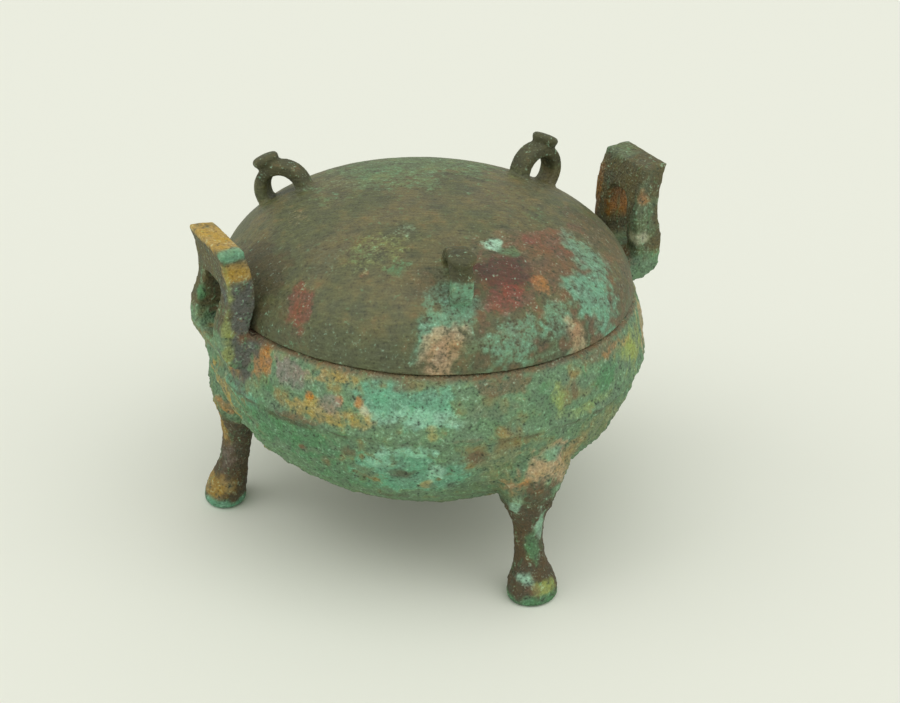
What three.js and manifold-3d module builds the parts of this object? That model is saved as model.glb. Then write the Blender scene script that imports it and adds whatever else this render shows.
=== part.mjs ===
// A lidded bronze ding: a round tripod vessel with two upright ears, cast in one
// piece, and a loose domed lid with three strap loops. Millimetres, +Z up. The
// origin is on the ground, midway between the ears, and +X points at one of them.
// All is shaped about the bowl's own axis, and the whole is moved at the end.

import * as THREE from "three";
import { mergeVertices } from "three/addons/utils/BufferGeometryUtils.js";
import Module from "manifold-3d";

const wasm = await Module();
wasm.setup();

const DEG = Math.PI / 180;

// ---- driving dimensions ----------------------------------------------------

const LID_R = 88;                        // radius of the lid's rim, and of the ledge under it

// bowl: a flattened ball, cut off at the ledge
const WALL = 3;                          // thickness of the cast wall
const BELLY_R = 1.07 * LID_R;            // widest radius of the wall
const BELLY_Z = LID_R;                   // height of the widest place
const BELLY_HALF_H = 0.768 * LID_R;      // half height of the ball
const BELLY_FULLNESS = 2.02;             // 2 would be a true ellipse; more is fuller below
const LEDGE_Z = 1.261 * LID_R;           // height of the ledge that carries the lid
const LIP_R = LID_R - 5;                 // outer radius of the lip inside the lid
const LIP_H = 6;                         // height of the lip above the ledge
const LIP_T = 2.5;                       // thickness of the lip
const RIB_Z = 0.967 * LID_R;             // height of the bowstring rib round the belly
const RIB_H = 4.2;                       // height of the rib
const RIB_PROUD = 1.3;                   // how far the rib stands out

// legs: short, with a swelling knee, a narrow shin and a hoof
const LEG_AZIMUTHS = [-84.7, 35, 155];    // degrees from +X
const FOOT_R = 0.995 * LID_R;            // distance of a hoof's middle from the axis
const KNEE_TOP_Z = 0.83 * LID_R;         // where the knee dies into the wall, under the rib

// ears: bent slabs, each with a tall slot through it; the two aren't quite alike
const EAR_HALF_W = 0.177 * LID_R;        // half width of an ear at its top
const EAR_FLARE = 0.19;                  // share by which an ear widens down to its root
const EAR_ASIDE = -1.2;                  // the ears stand a little off the bowl's axis
const EAR_BEVEL = 1;
const EAR_ROOT_R = BELLY_R - 12;         // the roots start inside the wall, and the hollow trims them
const SLOT_ASIDE = -1;
const SLOT_CORNER = 3;
const EARS = [
  {
    azimuth: 0,
    outR: 1.234 * LID_R,                 // outer face, at the top and again at the elbow
    thickness: 12,
    waist: 3.6,                          // how far the outer face draws in between the two
    topZ: 1.73 * LID_R,
    rootZ: BELLY_Z + 13,
    slotHalfW: 8.3,
    slotLow: 1.27 * LID_R,
    slotHigh: 1.555 * LID_R,
  },
  {
    azimuth: 180,
    outR: 1.158 * LID_R,
    thickness: 11.6,
    waist: 4.4,
    topZ: 1.684 * LID_R,
    rootZ: BELLY_Z + 10,
    slotHalfW: 8.6,
    slotLow: 1.2 * LID_R,
    slotHigh: 1.475 * LID_R,
  },
];

// lid: a full dome with a thin shell
const LID_WALL = 2.6;
const LID_H = 0.447 * LID_R;             // height of the dome above the ledge
const LID_SHOULDER = 2.6;                // powers of the dome's curve, radius and height
const LID_CROWN = 1.85;
const SEAT_GAP = 0.3;                    // between the lid's rim and the ledge

// loops: strap rings set square to the dome, each with a flat round knob
// rise lifts a ring off the dome, knobOut shifts its knob outward and nod leans it
const LOOPS = [
  { azimuth: 13.7, radius: 0.69 * LID_R, rise: 3.4, knobOut: -1, nod: 0 },
  { azimuth: 134.8, radius: 0.732 * LID_R, rise: 1.6, knobOut: 2, nod: 0 },
  { azimuth: -108.4, radius: 0.73 * LID_R, rise: 1.6, knobOut: 2, nod: -20 },
];
const LOOP_OUT_R = 12.4;
const LOOP_HOLE_R = 7;
const LOOP_HALF_W = 4.7;                 // half width of the strap
const KNOB_R = 5.9;
const KNOB_T = 3;
const KNOB_NECK_R = 4.2;
const KNOB_RISE = 14.4;                  // middle of the knob above the ring's middle

// how finely round shapes are divided
const TURNS = 54;
const LEG_SIDES = 16;
const RING_STEPS = 24;
const KNOB_SIDES = 16;

// ---- solids ------------------------------------------------------------------

// a closed geometry as a solid for joining and cutting
function solid(geometry) {
  const bare = geometry.clone();
  bare.deleteAttribute("normal");
  bare.deleteAttribute("uv");
  const merged = mergeVertices(bare, 1e-4);
  const index = merged.index.array;
  const kept = [];
  for (let i = 0; i < index.length; i += 3) {
    const [a, b, c] = [index[i], index[i + 1], index[i + 2]];
    if (a !== b && b !== c && c !== a) kept.push(a, b, c);
  }
  return new wasm.Manifold(new wasm.Mesh({
    numProp: 3,
    vertProperties: new Float32Array(merged.attributes.position.array),
    triVerts: new Uint32Array(kept),
  }));
}

// a solid back as a geometry
function geometryOf(manifold) {
  const mesh = manifold.getMesh();
  const geometry = new THREE.BufferGeometry();
  geometry.setAttribute("position", new THREE.BufferAttribute(new Float32Array(mesh.vertProperties), 3));
  geometry.setIndex(new THREE.BufferAttribute(new Uint32Array(mesh.triVerts), 1));
  geometry.computeVertexNormals();
  return geometry;
}

// a profile of [radius, height] pairs turned about the Z axis
function turned(profile, sides = TURNS) {
  const points = profile.map(([r, z]) => new THREE.Vector2(r, z));
  return new THREE.LatheGeometry(points, sides).rotateX(90 * DEG);
}

// ---- bowl --------------------------------------------------------------------

// radius of a flattened ball at a height, above its middle a true ellipse
function ballRadius(radius, halfHeight, z) {
  const rise = Math.min(Math.abs(z - BELLY_Z) / halfHeight, 1);
  const power = z > BELLY_Z ? 2 : BELLY_FULLNESS;
  return radius * (1 - rise ** power) ** (1 / power);
}

// heights from the bottom of the ball to its rim, closer together near the bottom
function ballHeights(halfHeight, top, steps) {
  const bottom = BELLY_Z - halfHeight;
  const heights = [];
  for (let i = 0; i <= steps; i += 1) {
    const share = 1 - Math.cos((i / steps) * 90 * DEG);
    heights.push(bottom + share * (top - bottom));
  }
  return heights;
}

function ribRise(z) {
  const off = Math.abs(z - RIB_Z) / (RIB_H / 2);
  return off < 1 ? RIB_PROUD * Math.cos(off * 90 * DEG) ** 0.8 : 0;
}

function bowlOutside() {
  const lower = ballHeights(BELLY_HALF_H, RIB_Z - RIB_H / 2, 11);
  const rib = [-1, -0.55, 0, 0.55, 1].map((k) => RIB_Z + k * RIB_H / 2);
  const shoulder = [0.3, 0.55, 0.8].map((k) => rib[4] + k * (LEDGE_Z - rib[4]));
  const wall = [...lower, ...rib.slice(1), ...shoulder].map((z) => [
    ballRadius(BELLY_R, BELLY_HALF_H, z) + ribRise(z),
    z,
  ]);
  return turned([
    ...wall,
    [LID_R, LEDGE_Z - 0.8],
    [LID_R - 0.8, LEDGE_Z],
    [LIP_R, LEDGE_Z],
    [LIP_R, LEDGE_Z + LIP_H - 0.8],
    [LIP_R - 0.8, LEDGE_Z + LIP_H],
    [0, LEDGE_Z + LIP_H],
  ]);
}

function bowlHollow() {
  const radius = BELLY_R - WALL;
  const halfHeight = BELLY_HALF_H - WALL;
  const throat = LEDGE_Z - WALL;
  const wall = ballHeights(halfHeight, throat - 8, 11).map((z) => [ballRadius(radius, halfHeight, z), z]);
  return turned([
    ...wall,
    [LIP_R - LIP_T, throat],
    [LIP_R - LIP_T, LEDGE_Z + LIP_H + 1],
    [0, LEDGE_Z + LIP_H + 1],
  ]);
}

// ---- legs --------------------------------------------------------------------

// stations up a leg: height, middle's distance from the axis, half width, half depth
const LEG_STATIONS = [
  [0, FOOT_R, 10.6, 9],
  [1.8, FOOT_R, 11.6, 9.6],
  [6, FOOT_R - 0.4, 11.8, 9.8],
  [10.5, FOOT_R - 1.2, 10.8, 9.2],
  [15, FOOT_R - 2.7, 7.8, 7.9],
  [21, FOOT_R - 4.2, 6.4, 7.1],
  [27, FOOT_R - 5.4, 6.3, 6.9],
  [33, FOOT_R - 6, 7, 7.1],
  [38, FOOT_R - 6.4, 9.2, 7.6],
  [43, FOOT_R - 6.4, 12.4, 8.8],
  [50, FOOT_R - 6.4, 15.6, 10.8],
  [58, FOOT_R - 6, 17.8, 11.6],
  [66, FOOT_R - 5, 17.8, 11.6],
  [KNEE_TOP_Z, FOOT_R - 3.4, 12.5, 9],
];

// a round bar of radius 1 with a ring per station, swelled and leaned to them
function leg() {
  const rings = LEG_STATIONS.map((_, i) => [1, i]);
  const bar = turned([[0, 0], ...rings, [0, rings.length - 1]], LEG_SIDES);
  const place = bar.attributes.position;
  for (let i = 0; i < place.count; i += 1) {
    const [z, middle, halfWidth, halfDepth] = LEG_STATIONS[Math.round(place.getZ(i))];
    place.setXYZ(i, middle + halfDepth * place.getX(i), halfWidth * place.getY(i), z);
  }
  return bar;
}

// ---- ears --------------------------------------------------------------------

// an ear's side view, radius across and height up: out from the shoulder, in to
// the waist and out again to the flat top
function earSide({ outR, thickness, waist, topZ, rootZ }) {
  const inR = outR - thickness;
  const waistZ = topZ - 19;
  const shape = new THREE.Shape();
  shape.moveTo(EAR_ROOT_R, rootZ - 4);
  shape.lineTo(BELLY_R, rootZ - 2);
  shape.quadraticCurveTo(outR - 0.5, rootZ, outR - 0.5, rootZ + 11);
  shape.bezierCurveTo(outR - 0.5, rootZ + 21, outR - waist, waistZ - 9, outR - waist, waistZ);
  shape.quadraticCurveTo(outR - waist, waistZ + 9, outR, topZ);
  shape.lineTo(inR, topZ - 1.2);
  shape.quadraticCurveTo(inR - waist + 0.4, waistZ + 7, inR - waist, waistZ - 2);
  shape.quadraticCurveTo(inR - waist + 1, LEDGE_Z + 10, inR - 1.2, LEDGE_Z + 1);
  shape.lineTo(inR - 2.8, LEDGE_Z - 2.6);
  shape.lineTo(EAR_ROOT_R, LEDGE_Z - 3);
  shape.closePath();
  return shape;
}

function slotOutline({ slotHalfW: w, slotLow, slotHigh }) {
  const c = SLOT_CORNER;
  const shape = new THREE.Shape();
  shape.moveTo(-w + c, slotLow);
  shape.lineTo(w - c, slotLow);
  shape.quadraticCurveTo(w, slotLow, w, slotLow + c);
  shape.lineTo(w, slotHigh - c);
  shape.quadraticCurveTo(w, slotHigh, w - c, slotHigh);
  shape.lineTo(-w + c, slotHigh);
  shape.quadraticCurveTo(-w, slotHigh, -w, slotHigh - c);
  shape.lineTo(-w, slotLow + c);
  shape.quadraticCurveTo(-w, slotLow, -w + c, slotLow);
  return shape;
}

function ear(own) {
  const depth = 2 * (EAR_HALF_W - EAR_BEVEL);
  const slab = new THREE.ExtrudeGeometry(earSide(own), {
    depth,
    steps: 1,
    curveSegments: 5,
    bevelThickness: EAR_BEVEL,
    bevelSize: EAR_BEVEL,
    bevelOffset: -EAR_BEVEL,
    bevelSegments: 1,
  });
  slab.translate(0, 0, -depth / 2).rotateX(90 * DEG);
  const place = slab.attributes.position;
  for (let i = 0; i < place.count; i += 1) {
    const drop = THREE.MathUtils.clamp((own.topZ - place.getZ(i)) / (own.topZ - own.rootZ), 0, 1);
    place.setY(i, place.getY(i) * (1 + EAR_FLARE * drop));
  }
  const slot = new THREE.ExtrudeGeometry(slotOutline(own), {
    depth: LID_R,
    curveSegments: 3,
    bevelEnabled: false,
  });
  slot.rotateX(90 * DEG).rotateZ(90 * DEG);
  const facing = Math.cos(own.azimuth * DEG);
  return solid(slab)
    .subtract(solid(slot).translate([LID_R / 2, SLOT_ASIDE * facing, 0]))
    .translate([0, EAR_ASIDE * facing, 0])
    .rotate([0, 0, own.azimuth]);
}

// ---- lid ---------------------------------------------------------------------

// height of the dome over the ledge at a share of its radius
function domeHeight(share) {
  return LID_H * (1 - share ** LID_SHOULDER) ** (1 / LID_CROWN);
}

const DOME_SHARES = [1, 0.995, 0.98, 0.95, 0.9, 0.83, 0.74, 0.63, 0.5, 0.35, 0.18, 0];
const LID_BASE_Z = LEDGE_Z + SEAT_GAP;

function dome() {
  const outside = DOME_SHARES.map((s) => [s * LID_R, LID_BASE_Z + domeHeight(s)]);
  return turned([[0, LID_BASE_Z - 1], [LID_R, LID_BASE_Z - 1], ...outside]);
}

function domeHollow() {
  const radius = LID_R - LID_WALL;
  const inside = DOME_SHARES.map((s) => [
    s * radius,
    LID_BASE_Z + domeHeight(s) * (LID_H - LID_WALL) / LID_H,
  ]);
  return turned([[0, LID_BASE_Z - 2], [radius, LID_BASE_Z - 2], ...inside]);
}

// the dome's slope at a radius, as an angle down from level
function domeTilt(radius) {
  const step = 0.01;
  const share = radius / LID_R;
  const fall = domeHeight(share - step) - domeHeight(share + step);
  return Math.atan2(fall, 2 * step * LID_R);
}

function strapRing() {
  const [inner, outer, half] = [LOOP_HOLE_R, LOOP_OUT_R, LOOP_HALF_W];
  const section = [
    [inner, -half],
    [outer - 1.2, -half],
    [outer, -half + 1.6],
    [outer, half - 1.6],
    [outer - 1.2, half],
    [inner, half],
    [inner, -half],
  ];
  return turned(section, RING_STEPS).rotateX(90 * DEG);
}

function knob(nod) {
  return solid(turned([
    [0, -KNOB_T * 1.5],
    [KNOB_NECK_R, -KNOB_T * 1.5],
    [KNOB_R * 0.9, -KNOB_T / 2],
    [KNOB_R, -KNOB_T / 6],
    [KNOB_R, KNOB_T / 3],
    [KNOB_R * 0.85, KNOB_T * 0.6],
    [0, KNOB_T * 0.75],
  ], KNOB_SIDES)).rotate([0, nod, 0]);
}

function loop({ azimuth, radius, rise, knobOut, nod }) {
  const tilt = domeTilt(radius) / DEG;
  const height = LID_BASE_Z + domeHeight(radius / LID_R);
  return solid(strapRing())
    .add(knob(nod).translate([knobOut, 0, KNOB_RISE]))
    .translate([0, 0, rise])
    .rotate([0, tilt, 0])
    .translate([radius, 0, height])
    .rotate([0, 0, azimuth]);
}

// ---- castings ----------------------------------------------------------------

function vesselSolid() {
  let casting = solid(bowlOutside());
  const shaped = solid(leg());
  for (const azimuth of LEG_AZIMUTHS) casting = casting.add(shaped.rotate([0, 0, azimuth]));
  for (const side of EARS) casting = casting.add(ear(side));
  return casting.subtract(solid(bowlHollow()));
}

function lidSolid() {
  let casting = solid(dome());
  for (const each of LOOPS) casting = casting.add(loop(each));
  const belowRim = new THREE.CylinderGeometry(2 * LID_R, 2 * LID_R, LID_BASE_Z, 8).rotateX(90 * DEG);
  belowRim.translate(0, 0, LID_BASE_Z / 2);
  return casting.subtract(solid(domeHollow())).subtract(solid(belowRim));
}

// ---- scene -------------------------------------------------------------------

function piece(name, manifold, color, roughness) {
  const material = new THREE.MeshStandardMaterial({ color, roughness, metalness: 0.35 });
  const mesh = new THREE.Mesh(geometryOf(manifold), material);
  mesh.name = name;
  return mesh;
}

const ding = new THREE.Group();
ding.position.setX((EARS[1].outR - EARS[0].outR) / 2);
ding.add(piece("vessel", vesselSolid(), 0x5f8a6c, 0.8));
ding.add(piece("lid", lidSolid(), 0x66674a, 0.7));

export default ding;
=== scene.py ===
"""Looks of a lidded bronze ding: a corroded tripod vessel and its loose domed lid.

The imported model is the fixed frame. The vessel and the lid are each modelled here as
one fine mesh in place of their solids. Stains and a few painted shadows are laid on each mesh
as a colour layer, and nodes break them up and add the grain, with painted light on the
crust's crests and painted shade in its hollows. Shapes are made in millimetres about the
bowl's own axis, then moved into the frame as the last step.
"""
import math

import bpy
import numpy as np
from mathutils import Matrix, Vector, noise
from mathutils.geometry import interpolate_bezier


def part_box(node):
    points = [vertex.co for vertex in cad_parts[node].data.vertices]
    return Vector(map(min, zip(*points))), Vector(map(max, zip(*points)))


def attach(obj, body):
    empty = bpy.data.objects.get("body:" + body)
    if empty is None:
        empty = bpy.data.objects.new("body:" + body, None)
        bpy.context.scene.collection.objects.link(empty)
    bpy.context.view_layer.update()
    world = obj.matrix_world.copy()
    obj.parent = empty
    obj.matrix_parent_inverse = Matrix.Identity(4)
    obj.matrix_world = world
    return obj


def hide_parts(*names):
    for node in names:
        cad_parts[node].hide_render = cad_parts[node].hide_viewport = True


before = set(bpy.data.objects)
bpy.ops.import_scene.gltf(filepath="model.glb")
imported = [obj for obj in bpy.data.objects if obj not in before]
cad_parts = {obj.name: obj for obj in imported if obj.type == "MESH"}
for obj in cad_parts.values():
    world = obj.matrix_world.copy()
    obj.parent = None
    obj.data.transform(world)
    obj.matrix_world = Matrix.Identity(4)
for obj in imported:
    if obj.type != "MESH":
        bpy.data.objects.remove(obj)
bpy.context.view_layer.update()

# ---- sizes, in millimetres about the bowl's axis --------------------------------

MM = 0.001
LID_LOW, LID_HIGH = (Vector(corner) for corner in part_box("lid"))
AXIS = Vector(((LID_LOW.x + LID_HIGH.x) / 2, 0, 0))   # the bowl's axis in the frame
R = (LID_HIGH.y - LID_LOW.y) / 2 / MM                 # radius of the lid's rim

WALL = 3
BELLY_R = 1.07 * R                 # widest radius of the wall
BELLY_Z = R                        # height of the widest place
BELLY_HALF_H = 0.768 * R
LEDGE_Z = 1.261 * R                # the ledge that carries the lid
LIP_R = R - 5
LIP_T = 2.5
LIP_H = 6
RIB_Z = 0.967 * R
RIB_H = 4.4
RIB_PROUD = 1.5

LEG_AZIMUTHS = (-84.7, 35, 155)
FOOT_R = 0.995 * R
KNEE_TOP_Z = 0.83 * R

EAR_HALF_W = 0.177 * R
EAR_FLARE = 0.19                   # share by which an ear widens down to its root
EAR_ASIDE = -1.2
EAR_ROOT_R = BELLY_R - 12
SLOT_ASIDE = -1
EARS = (
    dict(azimuth=0, out=1.234 * R, thick=12, waist=3.6, top=1.73 * R, root=BELLY_Z + 13,
         slot_half=7, slot_low=1.27 * R, slot_high=1.555 * R),
    dict(azimuth=180, out=1.158 * R, thick=11.6, waist=4.4, top=1.684 * R, root=BELLY_Z + 10,
         slot_half=8.6, slot_low=1.2 * R, slot_high=1.475 * R),
)

LID_WALL = 2.6
LID_H = 0.447 * R
LID_SHOULDER = 2.6                 # powers of the dome's curve, radius and height
LID_CROWN = 1.85
LID_BASE_Z = LEDGE_Z + 0.3

LOOPS = (
    dict(azimuth=13.7, radius=0.69 * R, rise=3.4, knob_out=-1, nod=0),
    dict(azimuth=134.8, radius=0.732 * R, rise=1.6, knob_out=2, nod=0),
    dict(azimuth=-108.4, radius=0.73 * R, rise=1.6, knob_out=2, nod=-20),
)
LOOP_HOLE_R = 7
LOOP_OUT_R = 12.4
LOOP_HALF_W = 4.7
KNOB_R = 5.9
KNOB_T = 3
KNOB_RISE = 14.4

VESSEL_GRAIN = 1.14                # size of the fine meshes' faces
LID_GRAIN = 0.8
SHOWN_STEPS = 240                  # steps round a turned shape, outside and inside
HIDDEN_STEPS = 128
CRUST_MIDDLE = 0.64                # share of a crust that lies below the plain surface

# layers of crust: size of the lumps, detail and strength
VESSEL_CRUST = ((26, 1, 1.2), (5.5, 2, 3.2), (1.9, 1, 1.6))
LID_CRUST = ((30, 1, 0.8), (4.5, 2, 0.6), (1.5, 1, 0.3))


# ---- modelling helpers ------------------------------------------------------------

def activate(obj):
    """Makes one object the only selected one and the active one."""
    bpy.ops.object.select_all(action="DESELECT")
    obj.select_set(True)
    bpy.context.view_layer.objects.active = obj


def edit(obj, kind="VERT"):
    activate(obj)
    bpy.ops.object.mode_set(mode="EDIT")
    bpy.ops.mesh.select_mode(type=kind)
    bpy.ops.mesh.select_all(action="SELECT")


def leave():
    bpy.ops.object.mode_set(mode="OBJECT")


def edit_edges(obj, wanted):
    """Edit mode with only those edges selected whose two ends pass a test."""
    edit(obj, "EDGE")
    bpy.ops.mesh.select_all(action="DESELECT")
    leave()
    for edge in obj.data.edges:
        edge.select = wanted(*(obj.data.vertices[i].co for i in edge.vertices))
    bpy.ops.object.mode_set(mode="EDIT")


def use(obj, kind, **settings):
    """Adds a modifier to an object and applies it."""
    activate(obj)
    modifier = obj.modifiers.new(kind.title(), kind)
    for key, value in settings.items():
        setattr(modifier, key, value)
    bpy.ops.object.modifier_apply(modifier=modifier.name)


def outline(name, points):
    """A closed ring of edges through points of (across, up), in the plane y = 0."""
    bpy.ops.object.select_all(action="DESELECT")
    bpy.ops.mesh.primitive_circle_add(vertices=len(points), radius=R)
    ring = bpy.context.object
    ring.name = name
    for vertex, (across, up) in zip(ring.data.vertices, points):
        vertex.co = (across, 0, up)
    return ring


def turned(name, profile, steps):
    """What a profile of (radius, height), from axis to axis, sweeps about the Z axis."""
    ring = outline(name, profile)
    edit_edges(ring, lambda a, b: abs(a.x) + abs(b.x) < 1e-6)
    bpy.ops.mesh.delete(type="EDGE")
    bpy.ops.mesh.select_all(action="SELECT")
    bpy.ops.mesh.spin(steps=steps, angle=2 * math.pi, center=(0, 0, 0), axis=(0, 0, 1))
    bpy.ops.mesh.select_all(action="SELECT")
    bpy.ops.mesh.remove_doubles(threshold=1e-3)
    bpy.ops.mesh.normals_make_consistent(inside=False)
    leave()
    return ring


def slab(name, points, thickness):
    """A flat plate with an outline in the plane y = 0, half its thickness to each side."""
    plate = outline(name, points)
    edit(plate)
    bpy.ops.mesh.edge_face_add()
    bpy.ops.transform.translate(value=(0, -thickness / 2, 0))
    bpy.ops.mesh.extrude_region_move(TRANSFORM_OT_translate={"value": (0, thickness, 0)})
    bpy.ops.mesh.select_all(action="SELECT")
    bpy.ops.mesh.normals_make_consistent(inside=False)
    leave()
    return plate


def place(obj, matrix):
    """Moves the mesh itself, so that the object stays at the origin, unturned."""
    obj.data.transform(matrix)
    obj.data.update()


def turn_z(degrees):
    return Matrix.Rotation(math.radians(degrees), 4, "Z")


def joined(name, parts):
    activate(parts[0])
    for part in parts:
        part.select_set(True)
    bpy.ops.object.join()
    parts[0].name = name
    return parts[0]


def cut(obj, tool):
    use(obj, "BOOLEAN", operation="DIFFERENCE", object=tool, solver="MANIFOLD")
    bpy.data.objects.remove(tool)


def ramp(values, low, high):
    """0 at the low value and 1 at the high one, with a smooth change between."""
    share = np.clip((values - low) / (high - low), 0, 1)
    return share * share * (3 - 2 * share)


def spots_of(obj):
    """The places of a mesh's vertices, one row each."""
    flat = np.empty(3 * len(obj.data.vertices), dtype=np.float32)
    obj.data.vertices.foreach_get("co", flat)
    return flat.reshape(-1, 3).astype(float)


def about_axis(azimuth, out, up):
    turn = math.radians(azimuth)
    return (out * math.cos(turn), out * math.sin(turn), up)


# ---- vessel: bowl, legs and ears ----------------------------------------------------

def ball_radius(radius, half_height, z):
    return radius * math.sqrt(max(1 - ((z - BELLY_Z) / half_height) ** 2, 0))


def ball_heights(half_height, top, steps):
    bottom = BELLY_Z - half_height
    shares = [1 - math.cos(i / steps * math.pi / 2) for i in range(steps + 1)]
    return [bottom + share * (top - bottom) for share in shares]


def rib_rise(z):
    """A rib with a long slope above and a sharp edge below."""
    half = RIB_H * (0.66 if z > RIB_Z else 0.34)
    off = abs(z - RIB_Z) / half
    return RIB_PROUD * math.cos(off * math.pi / 2) ** 0.8 if off < 1 else 0


def bowl_outside():
    lower = ball_heights(BELLY_HALF_H, RIB_Z - RIB_H / 2, 40)
    upper_span = LEDGE_Z - 1.5 - lower[-1]
    upper = [lower[-1] + upper_span * i / 30 for i in range(1, 31)]
    wall = [(ball_radius(BELLY_R, BELLY_HALF_H, z) + rib_rise(z), z) for z in lower + upper]
    return turned("bowl", wall + [
        (R, LEDGE_Z - 1),
        (R - 0.8, LEDGE_Z),
        (LIP_R, LEDGE_Z),
        (LIP_R, LEDGE_Z + LIP_H - 0.8),
        (LIP_R - 0.8, LEDGE_Z + LIP_H),
        (0, LEDGE_Z + LIP_H),
    ], SHOWN_STEPS)


def bowl_hollow():
    radius, half_height = BELLY_R - WALL, BELLY_HALF_H - WALL
    throat = LEDGE_Z - WALL
    wall = [(ball_radius(radius, half_height, z), z) for z in ball_heights(half_height, throat - 8, 18)]
    return turned("hollow", wall + [
        (LIP_R - LIP_T, throat),
        (LIP_R - LIP_T, LEDGE_Z + LIP_H + 2),
        (0, LEDGE_Z + LIP_H + 2),
    ], HIDDEN_STEPS)


SOLE_HALF_W = 10.6
SOLE_HALF_D = 9

# stations up a leg: height, middle's distance from the axis, half width, half depth
LEG_STATIONS = (
    (1.8, FOOT_R, 11.6, 9.6),
    (6, FOOT_R - 0.4, 11.8, 9.8),
    (10.5, FOOT_R - 1.2, 10.8, 9.2),
    (15, FOOT_R - 2.7, 7.8, 7.9),
    (21, FOOT_R - 4.2, 6.4, 7.1),
    (27, FOOT_R - 5.4, 6.3, 6.9),
    (33, FOOT_R - 6, 7, 7.1),
    (38, FOOT_R - 6.4, 9.2, 7.6),
    (43, FOOT_R - 6.4, 12.4, 8.8),
    (50, FOOT_R - 6.4, 15.6, 10.8),
    (58, FOOT_R - 6, 17.8, 11.6),
    (66, FOOT_R - 5, 17.8, 11.6),
    (KNEE_TOP_Z, FOOT_R - 3.4, 12.5, 9),
)


def leg(azimuth):
    """A leg drawn up from its sole, station by station, and rounded."""
    bpy.ops.object.select_all(action="DESELECT")
    bpy.ops.mesh.primitive_circle_add(vertices=24, radius=1, fill_type="NGON", location=(FOOT_R, 0, 0))
    limb = bpy.context.object
    bpy.ops.object.transform_apply(location=True)
    edit(limb, "FACE")
    half_width, half_depth = SOLE_HALF_W, SOLE_HALF_D
    bpy.ops.transform.resize(value=(half_depth, half_width, 1), center_override=(FOOT_R, 0, 0))
    bpy.ops.mesh.inset(thickness=2)
    bpy.ops.mesh.select_all(action="SELECT")
    middle, height = FOOT_R, 0
    for z, next_middle, width, depth in LEG_STATIONS:
        step = (next_middle - middle, 0, z - height)
        bpy.ops.mesh.extrude_region_move(TRANSFORM_OT_translate={"value": step})
        growth = (depth / half_depth, width / half_width, 1)
        bpy.ops.transform.resize(value=growth, center_override=(next_middle, 0, z))
        middle, height, half_width, half_depth = next_middle, z, width, depth
    bpy.ops.mesh.select_all(action="SELECT")
    bpy.ops.mesh.normals_make_consistent(inside=False)
    leave()
    use(limb, "SUBSURF", levels=1, render_levels=1)
    place(limb, turn_z(azimuth))
    return limb


def curve(start, lead, follow, end, steps=7):
    """Points of a cubic curve, without its first one."""
    corners = [Vector((x, z, 0)) for x, z in (start, lead, follow, end)]
    return [(p.x, p.y) for p in interpolate_bezier(*corners, steps + 1)][1:]


def ear_side(own):
    """Side view of an ear: out from the shoulder, in to the waist, out to the flat top."""
    out, waist, top, root = own["out"], own["waist"], own["top"], own["root"]
    inner, waist_z = out - own["thick"], top - 19
    points = [(EAR_ROOT_R, root - 4), (BELLY_R, root - 2)]
    points += curve(points[-1], (out - 2, root - 0.5), (out - 0.5, root + 4), (out - 0.5, root + 11))
    points += curve(points[-1], (out - 0.5, root + 21), (out - waist, waist_z - 9), (out - waist, waist_z))
    points += curve(points[-1], (out - waist, waist_z + 6), (out - waist * 0.7, top - 7), (out, top))
    points.append((inner, top - 1.2))
    narrow = (inner - waist, waist_z - 2)
    points += curve(points[-1], (inner - waist * 0.6, top - 9), (inner - waist, waist_z + 4), narrow)
    foot = (inner - 1.2, LEDGE_Z + 1)
    points += curve(narrow, (inner - waist + 0.5, waist_z - 9), (inner - 2.4, LEDGE_Z + 7), foot)
    return points + [(inner - 2.8, LEDGE_Z - 2.6), (EAR_ROOT_R, LEDGE_Z - 3)]


def slot_cutter(own):
    """A bar with rounded edges along X, to cut the slot through an ear."""
    height = own["slot_high"] - own["slot_low"]
    bpy.ops.object.select_all(action="DESELECT")
    bpy.ops.mesh.primitive_cube_add(
        size=1,
        location=(R, SLOT_ASIDE, own["slot_low"] + height / 2),
        scale=(R, 2 * own["slot_half"], height),
    )
    bar = bpy.context.object
    bpy.ops.object.transform_apply(location=True, rotation=False, scale=True)
    edit_edges(bar, lambda a, b: abs(a.x - b.x) > 1)
    bpy.ops.mesh.bevel(offset=3, segments=4, affect="EDGES")
    leave()
    return bar


def ear(own):
    side = slab("ear", ear_side(own), 2 * EAR_HALF_W)
    for vertex in side.data.vertices:
        drop = min(max((own["top"] - vertex.co.z) / (own["top"] - own["root"]), 0), 1)
        vertex.co.y *= 1 + EAR_FLARE * drop
    cut(side, slot_cutter(own))
    facing = math.cos(math.radians(own["azimuth"]))
    place(side, turn_z(own["azimuth"]) @ Matrix.Translation((0, EAR_ASIDE * facing, 0)))
    return side


def weigh(obj, name, weights):
    """A vertex group with a weight for each vertex."""
    group = obj.vertex_groups.new(name=name)
    for index, weight in enumerate(weights):
        group.add([index], weight, "REPLACE")


def roughen(obj, layers, weights):
    """Pushes the surface in and out by layers of cloudy lumps, more in than out."""
    weigh(obj, "crust", weights)
    for size, detail, strength in layers:
        lumpy = bpy.data.textures.new("crust", "CLOUDS")
        lumpy.noise_scale = size
        lumpy.noise_depth = detail
        use(obj, "DISPLACE", texture=lumpy, texture_coords="LOCAL", strength=strength,
            mid_level=CRUST_MIDDLE, vertex_group="crust")


def vessel_crust(spots):
    """How thick the crust is: most on the lower wall, least on the ears, shins and hooves."""
    height = spots[:, 2]
    radius = np.hypot(spots[:, 0], spots[:, 1])
    low_wall = ramp(height, 104, 60) * ramp(radius, 60, 84)
    on_ground = ramp(height, 0.5, 6)
    on_leg = ramp(height, 46, 34) * ramp(radius, 66, 74)
    on_ear = ramp(height, 108, 116)
    return (0.4 + 0.6 * low_wall) * (1 - 0.5 * on_leg) * (1 - 0.6 * on_ear) * on_ground


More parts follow.
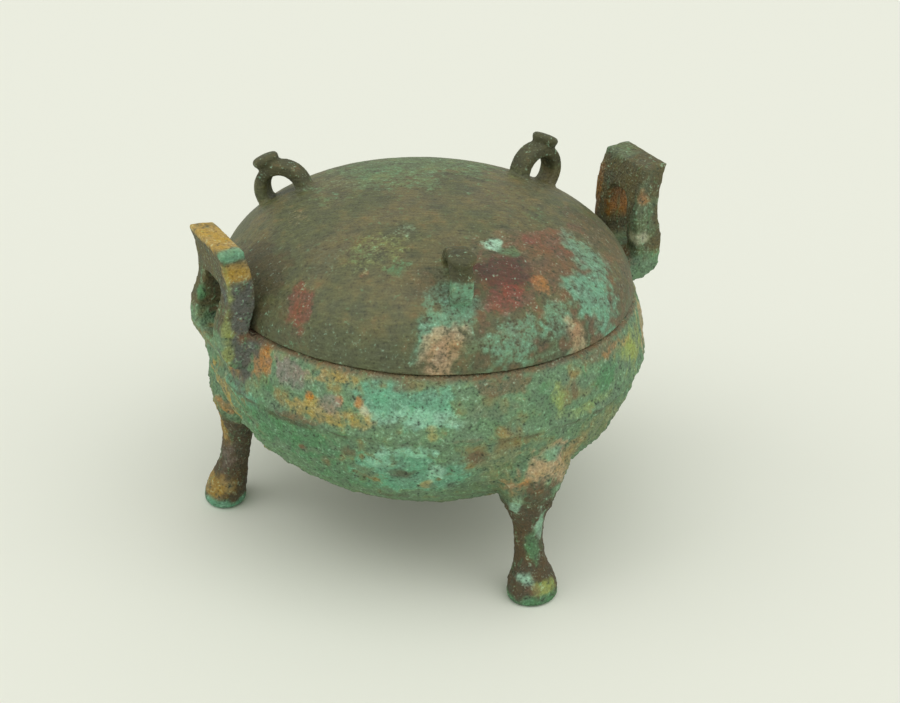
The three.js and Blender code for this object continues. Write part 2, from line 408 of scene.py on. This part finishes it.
def make_vessel():
    parts = [bowl_outside()]
    parts += [leg(azimuth) for azimuth in LEG_AZIMUTHS]
    parts += [ear(own) for own in EARS]
    casting = joined("vessel_cast", parts)
    use(casting, "REMESH", mode="VOXEL", voxel_size=VESSEL_GRAIN)
    use(casting, "SMOOTH", factor=0.5, iterations=2)
    roughen(casting, VESSEL_CRUST, vessel_crust(spots_of(casting)))
    cut(casting, bowl_hollow())
    return casting


# ---- lid: dome and loops --------------------------------------------------------------

def dome_height(share):
    return LID_H * (1 - share ** LID_SHOULDER) ** (1 / LID_CROWN)


def dome_shares(steps):
    """Shares of the radius from rim to crown, closest together at the rim."""
    return [1 - (i / steps) ** 2.2 for i in range(steps + 1)]


def dome(name, radius, height_scale, base, steps, turns):
    curve_up = [(s * radius, LID_BASE_Z + dome_height(s) * height_scale) for s in dome_shares(steps)]
    return turned(name, [(0, base), (radius, base)] + curve_up, turns)


def dome_tilt(radius):
    step = 0.01
    share = radius / R
    fall = dome_height(share - step) - dome_height(share + step)
    return math.atan2(fall, 2 * step * R)


def strap_ring():
    """A flat strap bent round a hole, its axis along Y."""
    inner, outer, half = LOOP_HOLE_R, LOOP_OUT_R, LOOP_HALF_W
    ring = outline("ring", [(inner, -half), (outer, -half), (outer, half), (inner, half)])
    edit(ring)
    bpy.ops.mesh.spin(steps=48, angle=2 * math.pi, center=(0, 0, 0), axis=(0, 0, 1))
    bpy.ops.mesh.select_all(action="SELECT")
    bpy.ops.mesh.remove_doubles(threshold=1e-3)
    bpy.ops.mesh.normals_make_consistent(inside=False)
    leave()
    use(ring, "BEVEL", width=1.3, segments=3, limit_method="ANGLE")
    place(ring, Matrix.Rotation(math.pi / 2, 4, "X"))
    return ring


def knob(own):
    """A button with a rounded edge and a low crown, on a short neck."""
    button = turned("knob", [
        (0, -1.6 * KNOB_T),
        (0.72 * KNOB_R, -1.6 * KNOB_T),
        (0.72 * KNOB_R, -0.9 * KNOB_T),
        (0.93 * KNOB_R, -0.45 * KNOB_T),
        (KNOB_R, -0.1 * KNOB_T),
        (KNOB_R, 0.25 * KNOB_T),
        (0.86 * KNOB_R, 0.58 * KNOB_T),
        (0.5 * KNOB_R, 0.7 * KNOB_T),
        (0, 0.75 * KNOB_T),
    ], 40)
    nod = Matrix.Rotation(math.radians(own["nod"]), 4, "Y")
    place(button, Matrix.Translation((own["knob_out"], 0, KNOB_RISE)) @ nod)
    return button


def loop(own):
    fitted = joined("loop", [strap_ring(), knob(own)])
    radius = own["radius"]
    seat = Matrix.Translation((radius, 0, LID_BASE_Z + dome_height(radius / R)))
    lean = Matrix.Rotation(dome_tilt(radius), 4, "Y")
    place(fitted, turn_z(own["azimuth"]) @ seat @ lean @ Matrix.Translation((0, 0, own["rise"])))
    return fitted


def lid_crust(spots):
    """How rough the lid is: most on its front right."""
    ahead = spots @ np.array(about_axis(-75, 1, 0))
    return 0.3 + 0.5 * ramp(ahead, 10, 80)


def make_lid():
    parts = [dome("dome", R, 1, LID_BASE_Z - 1, 60, SHOWN_STEPS)]
    parts += [loop(own) for own in LOOPS]
    casting = joined("lid_cast", parts)
    use(casting, "REMESH", mode="VOXEL", voxel_size=LID_GRAIN)
    use(casting, "SMOOTH", factor=0.5, iterations=2)
    roughen(casting, LID_CRUST, lid_crust(spots_of(casting)))
    flatter = (LID_H - LID_WALL) / LID_H
    inside = dome("lid_inside", R - LID_WALL, flatter, LID_BASE_Z - 5, 20, HIDDEN_STEPS)
    cut(casting, inside)
    under = turned("under", [(0, 0), (2 * R, 0), (2 * R, LID_BASE_Z), (0, LID_BASE_Z)], 8)
    cut(casting, under)
    return casting


# ---- shader building ---------------------------------------------------------------------

def tint(red, green, blue):
    """A colour as a screen's 0 to 255 values, made linear for a shader."""
    shares = [value / 255 for value in (red, green, blue)]
    return (*(s / 12.92 if s < 0.04 else ((s + 0.055) / 1.055) ** 2.4 for s in shares), 1)


class Socket:
    """An output of a node, so that maths on it reads as Python."""

    def __init__(self, recipe, output):
        self.recipe = recipe
        self.output = output

    def maths(self, operation, *values):
        return self.recipe.node("ShaderNodeMath", {"operation": operation}, dict(enumerate(values)))

    def __add__(self, other):
        return self.maths("ADD", self, other)

    def __sub__(self, other):
        return self.maths("SUBTRACT", self, other)

    def __rsub__(self, other):
        return self.maths("SUBTRACT", other, self)

    def __mul__(self, other):
        return self.maths("MULTIPLY", self, other)

    __radd__ = __add__
    __rmul__ = __mul__

    def ramp(self, low, high):
        """0 at the low value and 1 at the high one, with a smooth change between."""
        return self.recipe.node(
            "ShaderNodeMapRange",
            {"interpolation_type": "SMOOTHSTEP"},
            {"Value": self, "From Min": low, "From Max": high},
        )


class Recipe:
    """A material and its nodes. Places in it are in millimetres about the bowl's axis."""

    def __init__(self, name):
        self.material = bpy.data.materials.new(name)
        self.material.use_nodes = True
        self.tree = self.material.node_tree
        self.shader = self.tree.nodes["Principled BSDF"]
        here = self.node("ShaderNodeTexCoord", output="Object")
        self.place = self.local(here, AXIS, (MM, MM, MM))

    def node(self, kind, settings=None, inputs=None, output=0):
        made = self.tree.nodes.new(kind)
        for key, value in (settings or {}).items():
            setattr(made, key, value)
        for key, value in (inputs or {}).items():
            self.feed(made.inputs[key], value)
        return Socket(self, made.outputs[output])

    def feed(self, socket, value):
        if isinstance(value, Socket):
            self.tree.links.new(value.output, socket)
        else:
            socket.default_value = value

    def local(self, place, centre, sizes, turn=(0, 0, 0)):
        """The place as seen from a centre, along turned axes with units of their own."""
        return self.node("ShaderNodeMapping", {"vector_type": "TEXTURE"}, {
            "Vector": place,
            "Location": centre,
            "Rotation": tuple(math.radians(t) for t in turn),
            "Scale": sizes,
        })

    def mix(self, under, over, share):
        return self.node("ShaderNodeMix", {"data_type": "RGBA"}, {0: share, 6: under, 7: over}, output=2)

    def noise(self, size, detail=1, seed=0, stretch=(1, 1, 1), turn=0):
        """Lumps of a size in millimetres, mostly between -1 and 1 and about 0."""
        sizes = tuple(size * s for s in stretch)
        spot = self.local(self.place, (173 * seed, 91 * seed, 0), sizes, (0, 0, turn))
        lumps = self.node("ShaderNodeTexNoise", None, {"Vector": spot, "Scale": 1, "Detail": detail})
        return lumps * 5 - 2.5

    def coat(self):
        """The colour and the cover that are stored on the mesh."""
        layer = {"attribute_name": "coat"}
        colour = self.node("ShaderNodeAttribute", layer)
        return colour, self.node("ShaderNodeAttribute", layer, output="Alpha")

    def relief(self):
        """About 1 on crests and -1 in hollows of the fine mesh."""
        return self.node("ShaderNodeNewGeometry", output="Pointiness") * 12 - 6

    def shade(self, colour, value, saturation=1):
        """A colour made lighter or darker, and stronger or greyer."""
        changes = {"Value": value, "Saturation": saturation, "Color": colour}
        return self.node("ShaderNodeHueSaturation", None, changes)

    def finish(self, colour, roughness, height, depth):
        """Joins the last values to the shader, with the height as bump of a depth in mm."""
        bump = self.node("ShaderNodeBump", None, {"Height": height, "Distance": depth * MM, "Strength": 1})
        self.feed(self.shader.inputs["Base Color"], colour)
        self.feed(self.shader.inputs["Roughness"], roughness)
        self.feed(self.shader.inputs["Normal"], bump)
        return self.material


# ---- patina, with painted shadows and painted light and shade ----------------------------

VERDIGRIS = tint(112, 142, 108)
TURQUOISE = tint(112, 164, 134)
MINT = tint(170, 218, 188)
MALACHITE = tint(88, 134, 94)
EARTH = tint(140, 130, 90)
OLIVE = tint(90, 94, 60)
OCHRE = tint(182, 152, 86)
ORANGE = tint(188, 128, 72)
BROWN = tint(116, 90, 66)
DARK = tint(46, 42, 30)
UMBER = tint(84, 70, 50)
SLATE = tint(92, 94, 88)
VIOLET = tint(140, 128, 122)
LIME = tint(160, 172, 98)
TAN = tint(200, 164, 128)
CREAM = tint(210, 210, 176)
SAGE = tint(112, 142, 102)
EAR_OLIVE = tint(96, 90, 60)
LOOP_OLIVE = tint(78, 78, 50)
RIM_OLIVE = tint(86, 94, 68)
LID_EARTH = tint(106, 100, 66)
RED = tint(132, 72, 58)
MAROON = tint(88, 50, 42)

# on the wall: colour, azimuth, height, half width, half height, share
WALL_STAINS = (
    (MALACHITE, -155, 76, 34, 12, 0.85),
    (MALACHITE, -141, 58, 26, 12, 0.7),
    (TURQUOISE, -171, 85, 13, 6, 0.8),
    (TURQUOISE, -119, 67, 26, 16, 0.95),
    (TURQUOISE, -127, 101, 15, 10, 0.95),
    (TURQUOISE, -117, 99, 12, 11, 0.95),
    (MINT, -118, 95, 20, 4.5, 0.5),
    (MINT, -122, 80, 18, 3, 0.45),
    (MINT, -114.5, 69, 3.5, 7, 0.7),
    (MINT, -128, 73, 6, 4, 0.4),
    (MALACHITE, -88, 100, 6, 7, 0.6),
    (MALACHITE, -66, 96, 10, 7, 0.85),
    (MALACHITE, -56, 84, 20, 6, 0.4),
    (LIME, -83.5, 99, 4, 7, 0.6),
    (LIME, -50, 99, 15, 10, 0.7),
    (LIME, -75, 88.5, 20, 2.5, 0.5),
    (ORANGE, -163, 101, 8, 8, 0.85),
    (ORANGE, -172, 92, 8, 2.6, 0.7),
    (OCHRE, -145, 92, 19, 5, 0.75),
    (OCHRE, -141, 107, 9, 4, 0.8),
    (OCHRE, -150, 104, 6, 3, 0.5),
    (ORANGE, -147, 97, 2.2, 2.2, 0.8),
    (ORANGE, -139, 98, 2, 2, 0.8),
    (ORANGE, -134, 99, 1.8, 2.4, 0.8),
    (OCHRE, -133, 90, 5, 3, 0.6),
    (VIOLET, -154, 103, 9, 7, 0.8),
    (VIOLET, -141, 96, 5, 4, 0.7),
    (MALACHITE, -160, 95, 6, 4, 0.8),
    (BROWN, -122, 107, 5, 2.5, 0.7),
    (CREAM, -132.5, 96.5, 1.6, 2, 0.7),
    (OCHRE, -116, 88, 4, 4, 0.5),
    (BROWN, -98, 106, 14, 4, 0.75),
    (BROWN, -103, 98, 12, 5, 0.5),
    (BROWN, -78.4, 98, 2, 7, 0.75),
    (BROWN, -66, 107, 16, 3, 0.7),
    (ORANGE, -60, 105, 12, 2.4, 0.45),
    (TAN, -36, 98, 9, 11, 0.7),
    (BROWN, -150, 86, 12, 1.6, 0.8),
    (RED, -107, 85.6, 8, 1.4, 0.5),
    (UMBER, -124, 66.5, 5, 4, 0.75),
    (BROWN, -105, 76, 5, 4, 0.85),
    (RED, -150, 70.5, 2.4, 2.4, 0.65),
    (BROWN, -136.5, 76, 2.6, 3, 0.7),
    (RED, -144, 66, 2, 3, 0.5),
    (EARTH, -98, 70, 10, 14, 0.6),
    (OLIVE, -100, 52, 22, 10, 0.6),
    (OCHRE, -117, 60, 3, 3, 0.6),
    (EARTH, -66, 70, 24, 12, 0.6),
    (OCHRE, -183, 74, 12, 15, 0.75),
)

# on the legs and ears: colour, azimuth, distance from the axis, height, half sizes
# outwards, across and up, share
LIMB_STAINS = (
    (TAN, -82, 92, 64, 12, 17, 12, 0.75),
    (TURQUOISE, -84, 94, 71, 6, 6, 3, 0.8),
    (EARTH, -75, 90, 66, 9, 7, 8, 0.7),
    (ORANGE, -93, 90, 58, 8, 5, 6, 0.45),
    (UMBER, -86, 92, 53, 9, 9, 6, 0.85),
    (MINT, -92, 88, 47, 5, 2.4, 5, 0.6),
    (MINT, -84, 90, 36, 6, 2.2, 8, 0.6),
    (MALACHITE, -86, 90, 25, 6, 3, 6, 0.7),
    (MINT, -90, 92, 12.5, 6, 5, 2.6, 0.75),
    (LIME, -84, 95, 7.5, 7, 6, 4, 0.8),
    (MALACHITE, -86, 90, 2, 14, 14, 3.6, 0.95),
    (TURQUOISE, -95, 88, 5, 7, 4, 5, 0.7),
    (BROWN, -89, 96, 8, 4, 4, 2.6, 0.6),
    (OCHRE, 168, 90, 75, 12, 12, 8, 0.8),
    (VERDIGRIS, 172, 88, 64, 10, 9, 9, 0.8),
    (ORANGE, 165, 88, 56, 8, 7, 5, 0.7),
    (OCHRE, 158, 90, 42, 6, 4, 14, 0.7),
    (VIOLET, 160, 88, 24, 8, 6, 7, 0.35),
    (MALACHITE, 164, 84, 16, 5, 2.6, 8, 0.75),
    (OCHRE, 158, 92, 10, 10, 12, 5, 0.6),
    (TURQUOISE, 158, 88, 1.5, 14, 14, 3.4, 0.9),
    (VERDIGRIS, 180, 104, 118, 6, 16, 22, 0.7),
    (OCHRE, 180, 95, 149, 14, 18, 4, 0.95),
    (TURQUOISE, -170, 97, 146, 8, 3, 3, 0.8),
    (SLATE, -169.5, 93, 112, 10, 8, 26, 0.95),
    (OCHRE, -169.5, 95, 138, 9, 5, 4, 0.7),
    (LIME, -168, 101, 120, 3.4, 5, 24, 0.6),
    (MALACHITE, 176, 102, 118, 5, 5, 5, 0.8),
    (VERDIGRIS, 4, 97, 151, 12, 10, 3, 0.35),
    (ORANGE, 9, 93, 132, 6, 4, 12, 0.4),
    (ORANGE, 0, 100, 128, 8, 8, 12, 0.6),
    (VERDIGRIS, -11, 98, 128, 8, 5, 18, 0.45),
    (ORANGE, -11, 98, 138, 4, 3, 4, 0.6),
    (CREAM, -11, 97, 119, 6, 5, 3, 0.6),
    (OLIVE, -5, 98, 108, 10, 14, 6, 0.8),
    (RED, -12, 94, 108, 4, 4, 3, 0.5),
)

# on the lid, stains and one painted shadow: colour, right and forward place, half sizes right and forward,
# share
LID_STAINS_AND_SHADOW = (
    (SAGE, 6, 34, 46, 34, 0.6),
    (MALACHITE, -8, 30, 12, 8, 0.35),
    (BROWN, -28, 34, 6, 16, 0.4),
    (TAN, -54, 12, 5, 9, 0.3),
    (LIME, 43, 10, 8, 4, 0.35),
    (BROWN, 56, 4, 10, 8, 0.4),
    # painted shadow of the left ear, in umber, on the lid beside it
    (UMBER, -78, -2, 12, 22, 0.7),
    (RED, -73, -31, 5, 9, 0.75),
    (RED, -50, -41, 3, 2.4, 0.6),
    (SLATE, -58, -24, 8, 9, 0.4),
    (LIME, -42, -32, 17, 11, 0.4),
    (MALACHITE, -38, -45, 7, 4, 0.6),
    (MALACHITE, -48, -30, 6, 5, 0.45),
    (MINT, -26, -26, 5, 4, 0.35),
    (BROWN, -32, -56, 8, 9, 0.5),
    (TURQUOISE, -30, -63, 6, 4, 0.6),
    (TURQUOISE, -28, -72, 16, 5, 0.75),
    (TAN, -34, -77, 9, 4, 0.6),
    (TURQUOISE, -5, -83, 12, 4, 0.6),
    (BROWN, 22, -58, 32, 18, 0.75),
    (RED, 34, -50, 17, 8, 0.45),
    (RED, 48, -38, 5, 4, 0.6),
    (RED, 20, -48, 4, 3, 0.6),
    (MAROON, 0, -63, 14, 10, 0.85),
    (RED, -4, -73, 12, 5, 0.8),
    (ORANGE, 13, -70, 4, 4, 0.5),
    (MINT, 2, -48, 5, 3.4, 0.75),
    (MALACHITE, 8, -53, 5, 3, 0.6),
    (TURQUOISE, 44, -58, 9, 14, 0.75),
    (TURQUOISE, 36, -73, 12, 9, 0.85),
    (TURQUOISE, 16, -80, 9, 5, 0.6),
    (TAN, 22, -83, 5, 3, 0.5),
    (BROWN, 60, -38, 14, 18, 0.6),
    (UMBER, 60, -27, 8, 6, 0.5),
    (MALACHITE, 33, -30, 6, 7, 0.4),
    (TAN, 42, -20, 6, 7, 0.25),
)


def lumps(spots, size, seed=0):
    """Noise about 0 at each spot, with lumps of a size in millimetres."""
    shift = Vector((17 * seed, 5 * seed, 0))
    return np.array([noise.noise(Vector(spot) / size + shift) for spot in spots]) * 1.6


def blot(spots, centre, sizes, turn=0):
    """How near each spot is to the middle of an oval place: 1 there, 0 at its edge, then less."""
    cosine, sine = math.cos(math.radians(turn)), math.sin(math.radians(turn))
    out, across, up = (spots - np.array(centre)).T
    local = np.stack([out * cosine + across * sine, across * cosine - out * sine, up], 1)
    return 1 - np.linalg.norm(local / np.array(sizes), axis=1)


class Coat:
    """A colour and a cover on each vertex, laid on stain by stain, and painted shadows the same way."""

    def __init__(self, obj, under):
        self.obj = obj
        self.spots = spots_of(obj)
        self.colour = np.tile(np.array(under[:3]), (len(self.spots), 1))
        self.cover = np.zeros(len(self.spots))
        self.broad = lumps(self.spots, 9)
        self.ragged = self.broad * 0.3 + lumps(self.spots, 3, 1) * 0.3

    def lay(self, colour, share):
        """Lays a colour on, where the share is above 0."""
        self.colour += (np.array(colour[:3]) - self.colour) * share[:, None]
        self.cover = np.maximum(self.cover, share)

    # lays an oval patch with ragged edges; most are stains, one on the lid is a painted shadow
    def stain_or_shadow(self, colour, centre, sizes, turn, share):
        inside = blot(self.spots, centre, sizes, turn) + self.ragged
        self.lay(colour, ramp(inside, -0.25, 0.35) * share)

    def keep(self):
        """Stores the coat on the mesh, where the material reads it."""
        layer = self.obj.data.color_attributes.new("coat", "FLOAT_COLOR", "POINT")
        rows = np.column_stack([self.colour, self.cover]).astype(np.float32)
        layer.data.foreach_set("color", rows.ravel())


WALL_STAIN_DEEP = 24                 # how far in a stain of the wall reaches
LOOP_REACH = (17, 11, 10.5)        # half sizes of the place round a loop
STAIN_AND_SHADOW_MIDDLE = LID_BASE_Z + 20     # height of the lid's stains and painted shadow, which reach right through it
STAIN_AND_SHADOW_REACH = 80


def coat_vessel(obj):
    coat = Coat(obj, VERDIGRIS)
    height = coat.spots[:, 2]
    radius = np.hypot(coat.spots[:, 0], coat.spots[:, 1])
    coat.lay(OLIVE, ramp(height + coat.ragged * 6, 50, 36) * 0.8)
    for colour, azimuth, up, wide, tall, share in WALL_STAINS:
        coat.stain_or_shadow(colour, about_axis(azimuth, BELLY_R, up), (WALL_STAIN_DEEP, wide, tall), azimuth, share)
    coat.lay(UMBER, ramp(radius, 70, 77) * ramp(height + coat.ragged * 5, 53, 45) * 0.95)
    coat.lay(EAR_OLIVE, ramp(height + coat.ragged, LEDGE_Z - 2, LEDGE_Z + 3))
    for colour, azimuth, out, up, deep, wide, tall, share in LIMB_STAINS:
        coat.stain_or_shadow(colour, about_axis(azimuth, out, up), (deep, wide, tall), azimuth, share)
    on_wall = ramp(radius, BELLY_R + 2.3, BELLY_R + 1.3)
    # painted shade: brown, darkest right under the lid's rim and fading about 3 mm down the wall
    rim_shadow = ramp(height + coat.ragged, LEDGE_Z - 4, LEDGE_Z - 1) * ramp(height, LEDGE_Z + 2, LEDGE_Z)
    coat.lay(BROWN, rim_shadow * on_wall * 0.85)
    # painted shadow: umber just under the rib's sharp lower edge, broken up by broad noise
    above_rib = height + coat.ragged * 0.6 - RIB_Z
    rib_shadow = ramp(above_rib, -4.1, -2.5) * ramp(above_rib, 0.1, -1.5)
    coat.lay(UMBER, rib_shadow * on_wall * ramp(coat.broad, -0.6, 0.4) * 0.7)
    coat.keep()


def coat_lid(obj):
    coat = Coat(obj, OLIVE)
    height = coat.spots[:, 2]
    coat.lay(RIM_OLIVE, ramp(height + coat.ragged * 3, LID_BASE_Z + 17, LID_BASE_Z + 9) * 0.7)
    front = ramp(blot(coat.spots, (12, -66, STAIN_AND_SHADOW_MIDDLE), (66, 38, STAIN_AND_SHADOW_REACH)), 0, 0.5)
    coat.lay(VERDIGRIS, front * ramp(coat.ragged, 0, 0.2) * 0.7)
    coat.lay(BROWN, front * ramp(-coat.ragged, 0, 0.2) * 0.8)
    for colour, right, ahead, wide, deep, share in LID_STAINS_AND_SHADOW:
        coat.stain_or_shadow(colour, (right, ahead, STAIN_AND_SHADOW_MIDDLE), (wide, deep, STAIN_AND_SHADOW_REACH), 0, share)
    for own in LOOPS:
        seat = LID_BASE_Z + dome_height(own["radius"] / R)
        middle = about_axis(own["azimuth"], own["radius"] + 3, seat + 13)
        near = blot(coat.spots, middle, LOOP_REACH, own["azimuth"])
        coat.lay(LOOP_OLIVE, ramp(near + coat.ragged * 0.1, -0.1, 0.1))
    coat.keep()


def vessel_patina():
    """Granular green over bronze, with earth on the left and dark shins."""
    skin = Recipe("vessel_patina")
    coat, cover = skin.coat()
    broad = skin.noise(22, 2)
    middling = skin.noise(7, 2, seed=1)
    small = skin.noise(2.6, 2, seed=2)
    fine = skin.noise(1, 1, seed=3)
    streak = skin.noise(3, 1, seed=4, stretch=(1, 1, 3.5))
    relief = skin.relief()
    under = skin.mix(VERDIGRIS, EARTH, (broad + middling * 0.7).ramp(0.1, 1.4))
    laid = (cover * 1.3 + small * 0.3 + middling * 0.12 + fine * 0.14).ramp(0.1, 1.3)
    colour = skin.mix(under, coat, laid)
    colour = skin.mix(colour, MALACHITE, (streak + fine * 0.4).ramp(0.5, 1.4) * 0.4)
    colour = skin.mix(colour, BROWN, (small + middling * 0.6).ramp(0.7, 1.6) * 0.45)
    colour = skin.mix(colour, MINT, (fine * 0.7 + small * 0.7 + relief * 0.2).ramp(0.3, 1.8) * 0.36)
    colour = skin.mix(colour, DARK, (fine * -1 - small * 0.7 - relief * 0.5).ramp(0.5, 2) * 0.7)
    # random tone, plus painted light on crests and painted shade in hollows of the crust
    tone_and_shading = 0.97 + 0.2 * fine + 0.18 * small + 0.13 * middling + 0.1 * relief
    colour = skin.shade(colour, tone_and_shading, 1.05 + 0.12 * middling)
    return skin.finish(colour, 0.76 + 0.08 * small, small * 0.5 + fine * 0.5, 0.3)


def lid_patina():
    """Smooth olive-brown with fine scratches, red patches and a green speckled front."""
    skin = Recipe("lid_patina")
    coat, cover = skin.coat()
    broad = skin.noise(26, 2)
    middling = skin.noise(7, 2, seed=1)
    small = skin.noise(2.4, 2, seed=2)
    fine = skin.noise(0.9, 1, seed=3)
    scratch = skin.noise(1, 2, seed=4, stretch=(9, 1, 1), turn=-30)
    relief = skin.relief()
    under = skin.mix(OLIVE, LID_EARTH, (broad + middling * 0.5).ramp(-0.6, 0.9))
    laid = (cover * 1.3 + small * 0.34 + middling * 0.14 + fine * 0.2).ramp(0.1, 1.3)
    colour = skin.mix(under, coat, laid)
    colour = skin.mix(colour, BROWN, (middling + small * 0.6).ramp(0.5, 1.5) * 0.35)
    colour = skin.mix(colour, MALACHITE, (small + broad * 0.4).ramp(0.7, 1.5) * 0.35)
    colour = skin.mix(colour, MINT, (fine * 0.7 + small * 0.7).ramp(0.5, 1.8) * (0.06 + 0.45 * cover))
    pits = (fine * -1 - small * 0.7 - relief * 0.4).ramp(0.5, 1.9)
    colour = skin.mix(colour, DARK, pits * (0.3 + 0.35 * cover))
    # random tone and scratches, plus painted light on crests and painted shade in hollows
    tone_and_shading = 0.98 + 0.13 * fine + 0.13 * small + 0.12 * middling + 0.17 * scratch + 0.08 * relief
    colour = skin.shade(colour, tone_and_shading, 1 + 0.1 * middling)
    roughness = 0.56 + 0.06 * small + 0.16 * cover
    return skin.finish(colour, roughness, scratch * 0.3 + fine * 0.3 + small * 0.4, 0.16)


def plain(name, colour, rough):
    made = bpy.data.materials.new(name)
    made.use_nodes = True
    shader = made.node_tree.nodes["Principled BSDF"]
    shader.inputs["Base Color"].default_value = (*colour, 1)
    shader.inputs["Roughness"].default_value = rough
    return made


# ---- the object ----------------------------------------------------------------------------

def dress(piece, node, material):
    """Moves a finished piece into the frame, and lets it stand for its solid."""
    place(piece, Matrix.Translation(AXIS) @ Matrix.Scale(MM, 4))
    piece.data.materials.clear()
    piece.data.materials.append(material)
    activate(piece)
    bpy.ops.object.shade_smooth()
    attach(piece, "root")
    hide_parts(node)


vessel_cast = make_vessel()
coat_vessel(vessel_cast)
dress(vessel_cast, "vessel", vessel_patina())
lid_cast = make_lid()
coat_lid(lid_cast)
dress(lid_cast, "lid", lid_patina())


# ---- studio ----------------------------------------------------------------------------------

PAPER = (0.808, 0.819, 0.731)
SKY = (0.97, 0.98, 0.94, 1)
SKY_STRENGTH = 0.66

# distant lamps: azimuth, elevation, width in the sky, power
LAMPS = {
    "overhead": (-30, 75, 60, 0.72),
    "left": (-105, 42, 45, 0.4),
    "right": (40, 48, 45, 0.34),
}


def make_floor():
    bpy.ops.object.select_all(action="DESELECT")
    bpy.ops.mesh.primitive_plane_add(size=12)
    floor = bpy.context.object
    floor.name = "floor"
    floor.data.materials.append(plain("paper", PAPER, 0.9))


def add_lamp(name, azimuth, elevation, width, power):
    """A distant soft light, as wide in the sky as an angle in degrees."""
    a, e = math.radians(azimuth), math.radians(elevation)
    away = Vector((math.sin(a) * math.cos(e), -math.cos(a) * math.cos(e), math.sin(e)))
    lamp = bpy.data.lights.new(name, "SUN")
    lamp.angle = math.radians(width)
    lamp.energy = power
    holder = bpy.data.objects.new(name, lamp)
    holder.rotation_euler = away.to_track_quat("Z", "Y").to_euler()
    bpy.context.collection.objects.link(holder)


def make_light():
    world = bpy.data.worlds.new("studio")
    world.use_nodes = True
    background = world.node_tree.nodes["Background"]
    background.inputs["Color"].default_value = SKY
    background.inputs["Strength"].default_value = SKY_STRENGTH
    bpy.context.scene.world = world
    for name, settings in LAMPS.items():
        add_lamp(name, *settings)


VIEW_AZIMUTH = -29.7               # degrees that the camera stands round from the front
VIEW_ELEVATION = 27.866
VIEW_DISTANCE = 8.689 * R * MM
VIEW_ROLL = 2.568
VIEW_LENS = 70.2                   # on the default sensor, 36 mm wide
AIM_RIGHT = 0.128 * R * MM         # where the camera points, right of the axis and up
AIM_UP = 0.858 * R * MM


def make_camera():
    a, e = math.radians(VIEW_AZIMUTH), math.radians(VIEW_ELEVATION)
    right = Vector((math.cos(a), math.sin(a), 0))
    back = Vector((math.sin(a) * math.cos(e), -math.cos(a) * math.cos(e), math.sin(e)))
    camera = bpy.data.cameras.new("camera")
    camera.lens = VIEW_LENS
    holder = bpy.data.objects.new("camera", camera)
    aim = AXIS + right * AIM_RIGHT + Vector((0, 0, AIM_UP))
    turn = back.to_track_quat("Z", "Y").to_matrix().to_4x4()
    roll = Matrix.Rotation(math.radians(VIEW_ROLL), 4, "Z")
    holder.matrix_world = Matrix.Translation(aim + back * VIEW_DISTANCE) @ turn @ roll
    bpy.context.collection.objects.link(holder)
    bpy.context.scene.camera = holder


make_floor()
make_light()
make_camera()
bpy.context.scene.view_settings.view_transform = "Standard"
